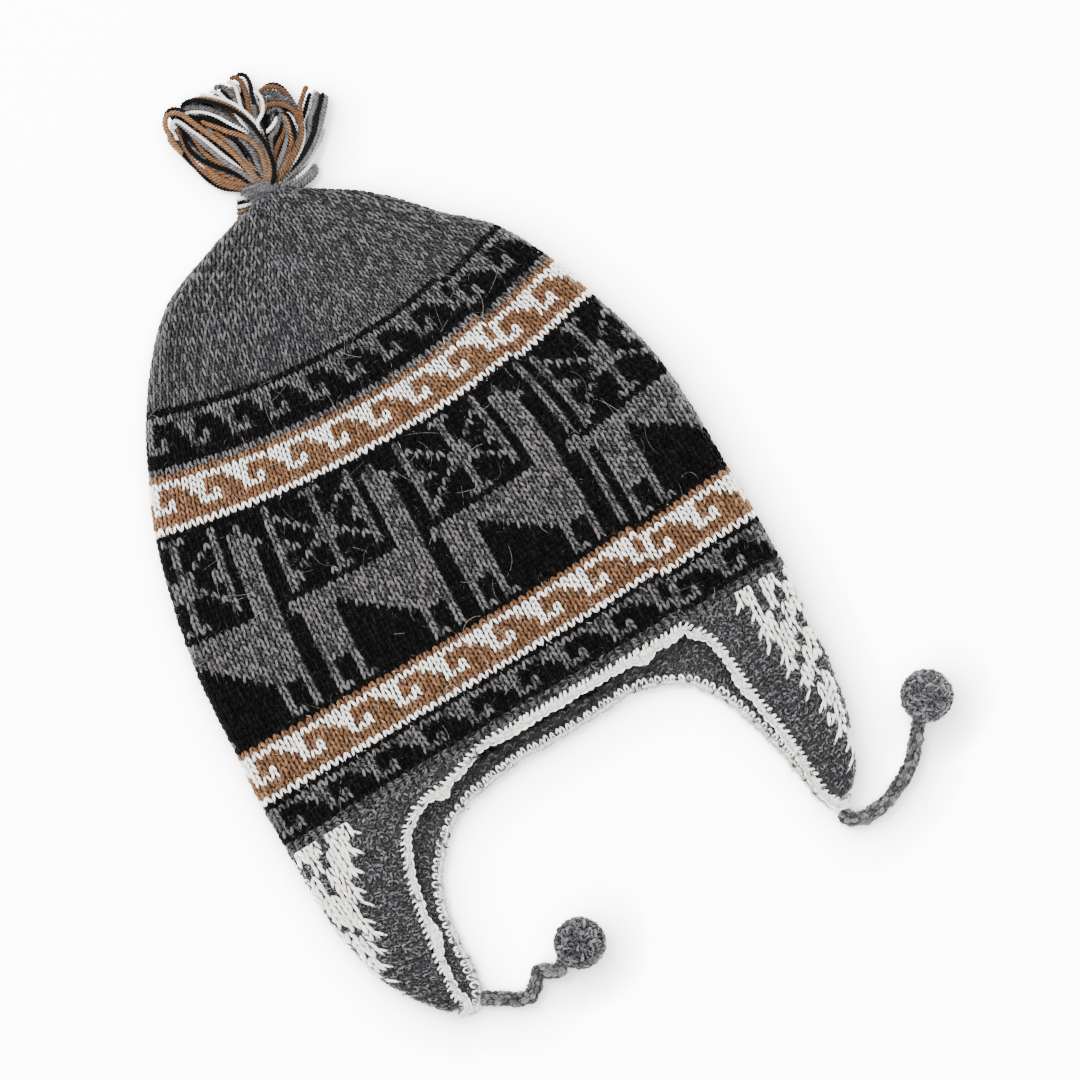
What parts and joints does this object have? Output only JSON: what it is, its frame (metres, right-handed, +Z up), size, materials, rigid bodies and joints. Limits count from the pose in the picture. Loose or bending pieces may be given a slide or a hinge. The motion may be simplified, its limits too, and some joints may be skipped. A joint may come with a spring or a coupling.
{
  "type": "chullo hat",
  "caption": "Knitted wool hat with folded ear flaps, crocheted border, ties with pompoms and a loop tassel, lying flat, hollow and open at its rim.",
  "frame": {"origin": "middle of the underside's bounding box, on the surface the hat lies on, measured without the ties and pompoms", "axes": "+Z up from the surface, +Y from the rim to the tassel, +X to the right seen from above"},
  "size_m": [0.2791, 0.406, 0.027],
  "materials": {
    "crown_knit": "stranded knit, heather grey, black, camel and off-white wool",
    "flap_knit": "dark heather grey moss stitch with off-white zigzag",
    "edging_yarn": "off-white crocheted wool",
    "binding_yarn": "heather grey wound wool",
    "tassel_yarn": "loops of black, camel, off-white and grey plied yarn",
    "tail_yarn": "short ends of plied yarn",
    "tie_yarn": "dark heather grey crocheted wool"
  },
  "bodies": {
    "root": {"crown": "crown_knit", "flap_left": "flap_knit", "flap_right": "flap_knit", "edging": "edging_yarn", "tassel_binding": "binding_yarn", "tassel": "tassel_yarn", "tassel_tail": "tail_yarn", "tie_left": "tie_yarn", "tie_right": "tie_yarn", "pompom_left": "tie_yarn", "pompom_right": "tie_yarn"}
  },
  "joints": []
}
